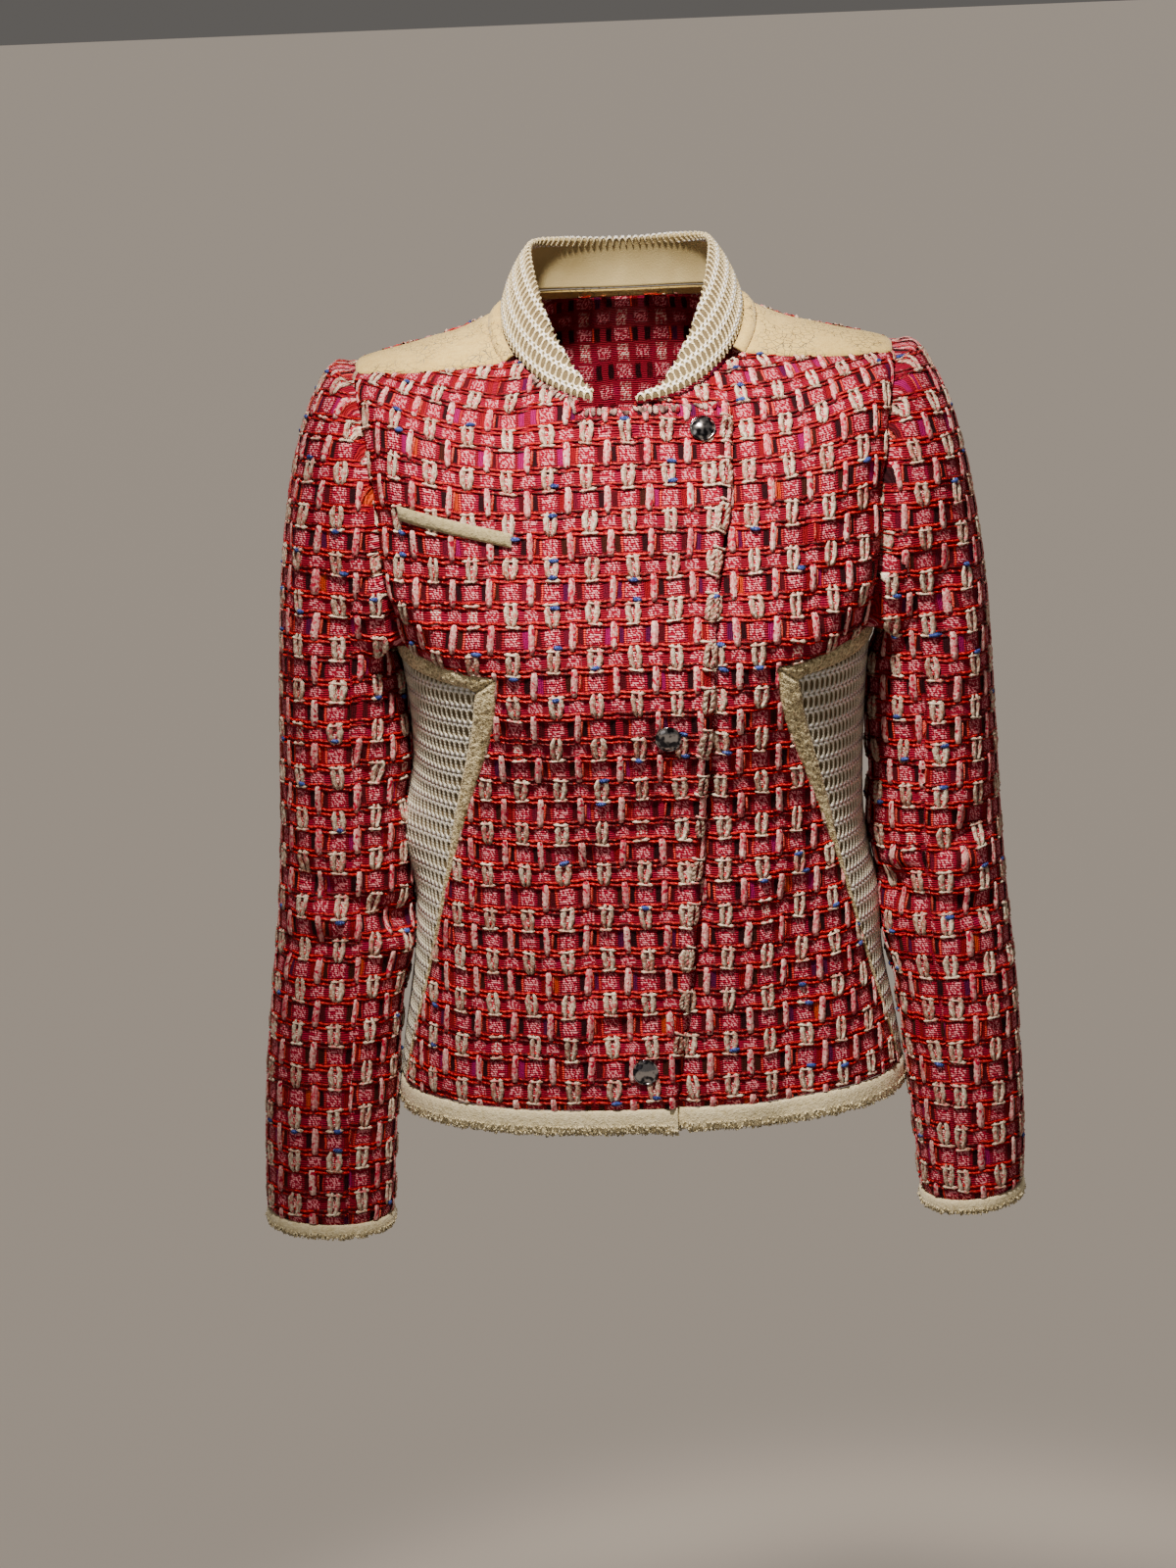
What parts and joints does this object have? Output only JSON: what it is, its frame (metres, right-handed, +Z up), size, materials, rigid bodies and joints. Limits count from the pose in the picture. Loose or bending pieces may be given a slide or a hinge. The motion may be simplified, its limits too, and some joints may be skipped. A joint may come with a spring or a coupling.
{
  "type": "cropped tweed jacket",
  "caption": "Cropped long-sleeved tweed jacket with an asymmetric snapped front, stand collar, suede yokes and trim, and mesh side panels, held in its worn shape.",
  "frame": {"origin": "middle of the neck opening, level with the points where the collar meets the shoulders", "axes": "+Z up towards the collar, -Y to the front of the jacket, +X towards the wearer's left"},
  "size_m": [0.5244, 0.2337, 0.6684],
  "materials": {
    "tweed": "boucle tweed, matt with glossy cords",
    "mesh": "openwork sports mesh, slightly shiny",
    "collar_mesh": "openwork mesh, slightly shiny",
    "suede": "napped suede, matt",
    "yoke_suede": "smooth suede, matt",
    "snap_metal": "polished dark metal"
  },
  "bodies": {
    "root": {"back": "tweed", "front_left": "tweed", "front_right": "tweed", "sleeve_upper_left": "tweed", "sleeve_upper_right": "tweed", "sleeve_under_left": "tweed", "sleeve_under_right": "tweed", "side_mesh_left": "mesh", "side_mesh_right": "mesh", "collar": "collar_mesh", "cuff_left": "suede", "cuff_right": "suede", "hem_back": "suede", "hem_front_left": "suede", "hem_front_right": "suede", "neck_strip": "suede", "side_band_front_left": "suede", "side_band_front_right": "suede", "side_band_top_left": "suede", "side_band_top_right": "suede", "welt": "suede", "yoke_left": "yoke_suede", "yoke_right": "yoke_suede", "snap_top": "snap_metal", "snap_middle": "snap_metal", "snap_bottom": "snap_metal"}
  },
  "joints": []
}
